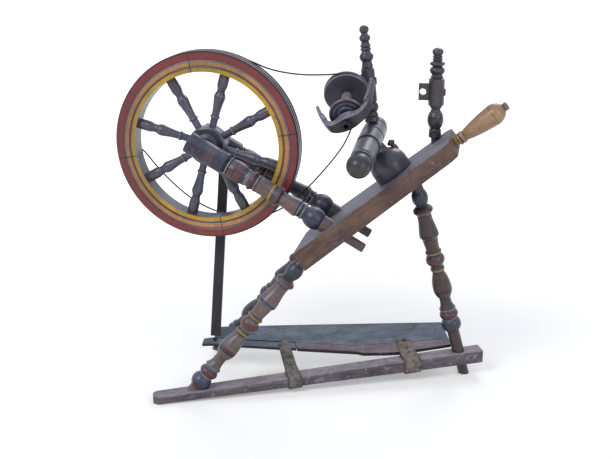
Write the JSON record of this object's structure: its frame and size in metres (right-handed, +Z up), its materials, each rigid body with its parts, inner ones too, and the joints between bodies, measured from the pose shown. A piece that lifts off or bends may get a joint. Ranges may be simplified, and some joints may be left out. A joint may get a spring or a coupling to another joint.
{
  "type": "treadle spinning wheel",
  "caption": "Treadle flyer spinning wheel: sloping table on turned legs, painted drive wheel, sliding mother-of-all with flyer and bobbin, front maiden out of its seat.",
  "frame": {"origin": "middle of the box, on the floor", "axes": "+X towards the tension handle, +Y away from the spinner, +Z up"},
  "size_m": [0.9574, 0.4368, 0.9002],
  "materials": {
    "table_wood": "worn grey top, brown sides",
    "dark_wood": "dark polished",
    "post_wood": "purple brown with painted rings",
    "rim_paint": "painted bands",
    "rail_wood": "worn",
    "board_wood": "dark grey blue",
    "strip_wood": "brown",
    "strap_leather": "dull",
    "black_wood": "matte",
    "knob_red": "satin",
    "flyer_wood": "worn",
    "iron": "dull forged",
    "thread": "spun thread",
    "light_wood": "waxed",
    "cord": "twisted cord"
  },
  "bodies": {
    "frame": {"table": "table_wood", "leg_front_left": "dark_wood", "leg_rear_left": "dark_wood", "leg_right": "dark_wood", "foot_rail": "rail_wood", "wheel_post_front": "post_wood", "wheel_post_rear": "post_wood", "axle_pins": "iron", "drive_band": "cord", "strap_left_loop": "strap_leather", "strap_right_loop": "strap_leather"},
    "wheel": {"hub": "dark_wood", "axle_crank": "iron", "felloe_1": "rim_paint", "felloe_2": "rim_paint", "felloe_3": "rim_paint", "felloe_4": "rim_paint", "spoke_1": "dark_wood", "spoke_2": "dark_wood", "spoke_3": "dark_wood", "spoke_4": "dark_wood", "spoke_5": "dark_wood", "spoke_6": "dark_wood", "spoke_7": "dark_wood", "spoke_8": "dark_wood"},
    "treadle": {"treadle_board": "board_wood", "treadle_bar": "strip_wood", "treadle_strip": "strip_wood", "strap_left": "strap_leather", "strap_right": "strap_leather", "strap_nail": "iron"},
    "footman": {"footman": "black_wood", "footman_hook": "iron"},
    "mother_of_all": {"mother_stem": "dark_wood", "mother_bar": "dark_wood", "stem_knob": "knob_red"},
    "rear_maiden": {"rear_maiden": "dark_wood", "rear_bearing": "dark_wood", "rear_peg": "dark_wood"},
    "flyer": {"flyer_arms": "flyer_wood", "flyer_spindle": "iron", "flyer_hooks": "iron", "whorl": "flyer_wood"},
    "bobbin": {"bobbin": "flyer_wood", "bobbin_thread": "thread"},
    "front_maiden": {"front_maiden": "dark_wood", "front_bearing": "dark_wood", "front_peg": "dark_wood"},
    "tension_screw": {"tension_handle": "light_wood", "tension_screw": "light_wood"}
  },
  "joints": [
    {"name": "wheel_spin", "type": "hinge", "parent": "frame", "child": "wheel", "pos_m": [-0.23921, 0.00967, 0.612], "axis": [0, 1, 0], "continuous": true},
    {"name": "treadle_rise", "type": "hinge", "parent": "frame", "child": "treadle", "pos_m": [0.00641, -0.03599, 0.03218], "axis": [0.9221, 0.3812, 0.0673], "range_deg": [0, 18]},
    {"name": "footman_swing", "type": "hinge", "parent": "treadle", "child": "footman", "pos_m": [-0.2421, 0.03464, 0.06528], "axis": [0.9221, 0.3812, 0.0673], "range_deg": [-20.66, 0]},
    {"name": "mother_slide", "type": "slide", "parent": "frame", "child": "mother_of_all", "axis": [0.7837, 0, 0.6211], "range_m": [-0.012, 0.02], "deforming": ["drive_band"]},
    {"name": "rear_maiden_twist", "type": "hinge", "parent": "mother_of_all", "child": "rear_maiden", "pos_m": [0.15829, 0.07867, 0.63947], "axis": [-0.1097, 0, 0.994], "range_deg": [-6, 6], "deforming": ["drive_band"]},
    {"name": "flyer_spin", "type": "hinge", "parent": "rear_maiden", "child": "flyer", "pos_m": [0.09109, 0.07867, 0.7612], "axis": [0.1305, -0.9293, -0.3455], "continuous": true},
    {"name": "bobbin_spin", "type": "hinge", "parent": "flyer", "child": "bobbin", "pos_m": [0.09109, 0.07867, 0.7612], "axis": [0.1305, -0.9293, -0.3455], "continuous": true},
    {"name": "front_maiden_turn", "type": "hinge", "parent": "frame", "child": "front_maiden", "pos_m": [0.30679, 0.07967, 0.63599], "axis": [0, 0, 1], "continuous": true},
    {"name": "tension_turn", "type": "hinge", "parent": "frame", "child": "tension_screw", "pos_m": [0.35884, 0.01567, 0.63984], "axis": [0.7837, 0, 0.6211], "range_deg": [-730, 1210]}
  ],
  "couplings": [
    {"joint": "footman_swing", "follows": "treadle_rise", "ratio": -1.1365},
    {"joint": "tension_turn", "follows": "mother_slide", "rad_per_m": 1047.2},
    {"joint": "flyer_spin", "follows": "wheel_spin", "ratio": -4.523}
  ]
}
